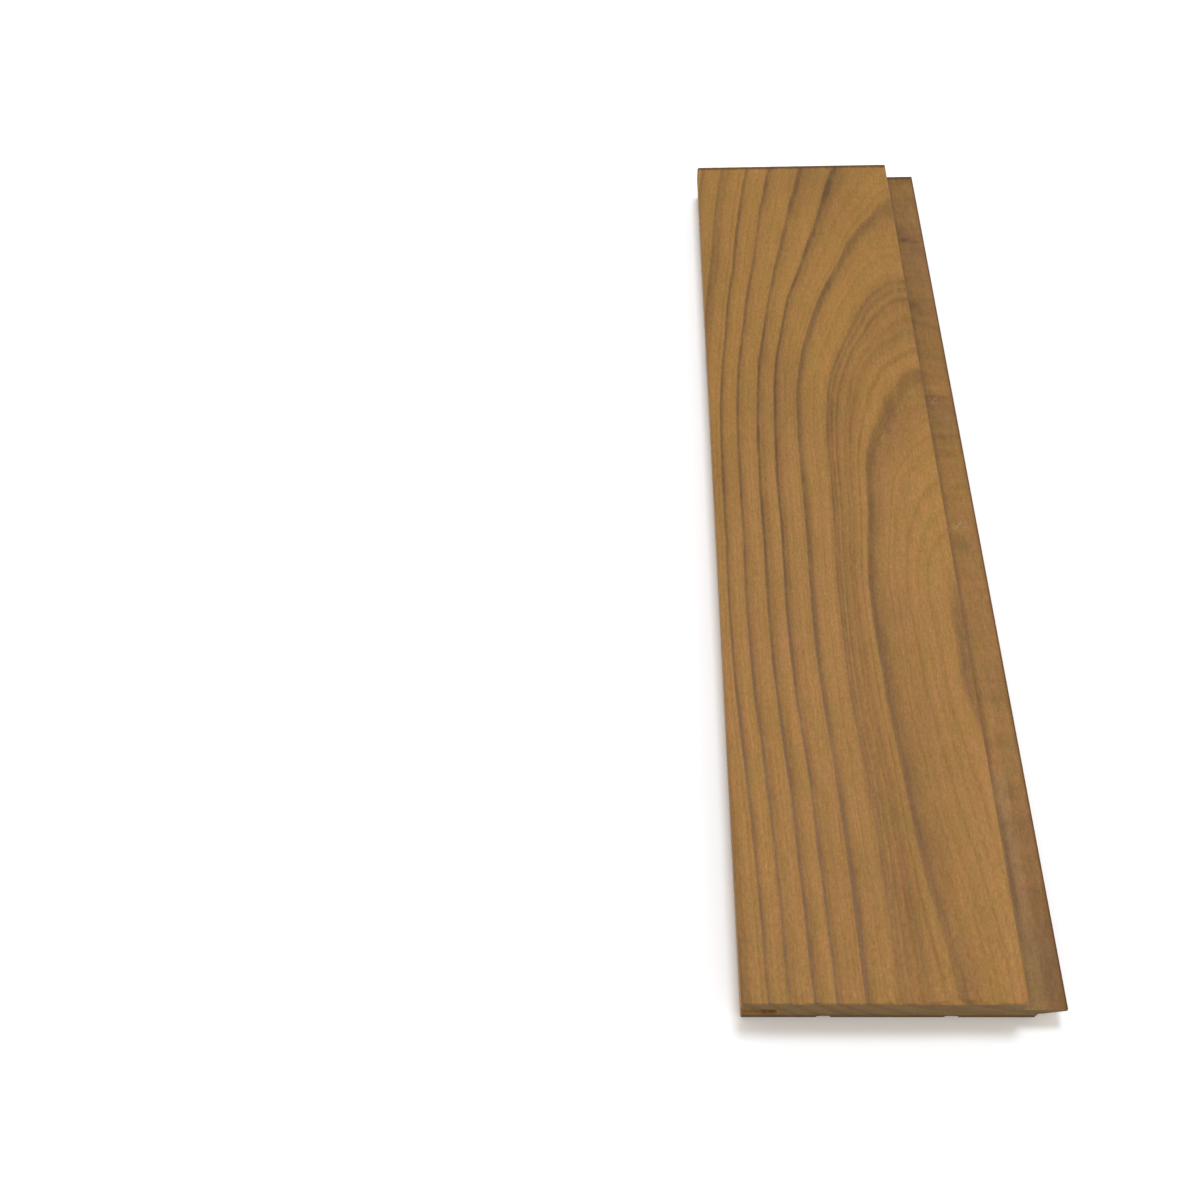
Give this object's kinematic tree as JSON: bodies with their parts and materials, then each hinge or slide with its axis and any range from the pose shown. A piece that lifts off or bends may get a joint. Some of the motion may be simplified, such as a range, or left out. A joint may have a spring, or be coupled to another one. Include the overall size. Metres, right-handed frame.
{
  "type": "tongue and groove board",
  "caption": "Planed softwood board with a tongue along one long edge and a groove along the other, laid side by side with an open channel between faces to clad walls and ceilings.",
  "frame": {"origin": "middle of the rectangle that the board covers, at the level of its back", "axes": "+Z out of the face, +Y along the grain, +X towards the tongue"},
  "size_m": [0.118, 0.446, 0.02],
  "materials": {
    "wood": "planed, uncoated, heat-treated brown"
  },
  "bodies": {
    "root": {"tongue_and_groove_board": "wood"}
  },
  "joints": []
}
